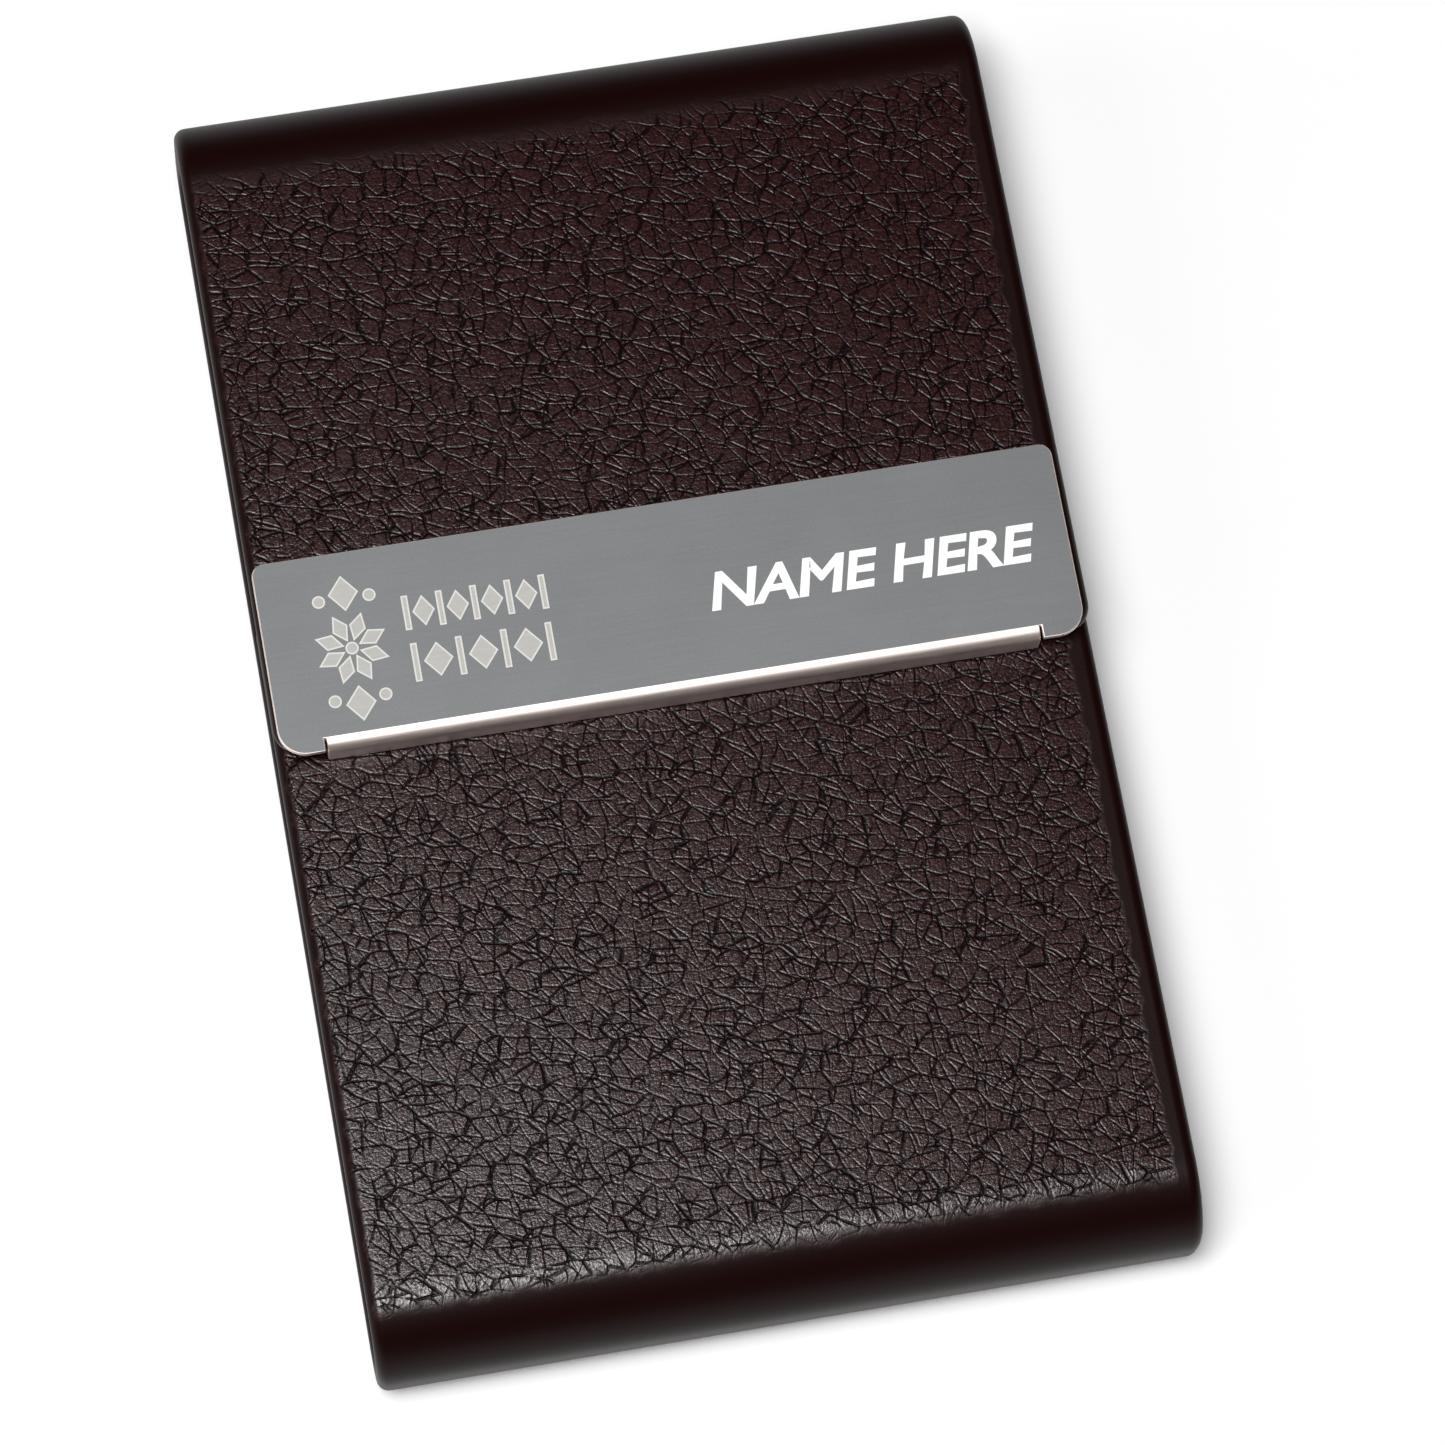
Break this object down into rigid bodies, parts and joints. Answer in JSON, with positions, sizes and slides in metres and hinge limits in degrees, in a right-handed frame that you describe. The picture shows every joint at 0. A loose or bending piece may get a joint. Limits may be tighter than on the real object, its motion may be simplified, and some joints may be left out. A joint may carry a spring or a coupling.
{
  "type": "business card case",
  "caption": "Slim portrait card case in bent leather covers over a pressed tray, with a magnetic flip-top flap hinged on a leather crease and a hooked metal name plate.",
  "frame": {"origin": "centre of the back face, on the surface that the closed case lies on", "axes": "+X across the case, +Y along its length towards the hinge end, +Z out of the front through the name plate"},
  "size_m": [0.062, 0.0984, 0.015],
  "materials": {
    "leather": "pebbled dark brown PU leather, semi-matt",
    "board": "pressed grey fibreboard",
    "keeper_steel": "zinc-plated mild steel",
    "velvet": "short black flock velvet",
    "tape": "black acrylic mounting tape",
    "tray_lacquer": "satin black lacquer on pressed steel",
    "rivet_nickel": "nickel-plated, satin",
    "magnet_nickel": "nickel-plated magnet",
    "plate_steel": "fine satin stainless steel"
  },
  "bodies": {
    "case_body": {"case_leather": "leather", "case_board": "board", "keeper_discs": "keeper_steel", "pocket_lining": "velvet", "tray_tape": "tape", "tray": "tray_lacquer", "tray_rivets": "rivet_nickel", "tray_pad": "velvet"},
    "flap": {"flap_leather": "leather", "flap_board": "board", "flap_lining": "velvet", "magnet_cups": "keeper_steel", "flap_magnets": "magnet_nickel", "plate_film": "tape", "name_plate": "plate_steel"}
  },
  "joints": [
    {"name": "flap_hinge", "type": "hinge", "parent": "case_body", "child": "flap", "pos_m": [0, 0.04925, 0.0076], "axis": [-1, 0, 0], "range_deg": [0, 175]}
  ]
}
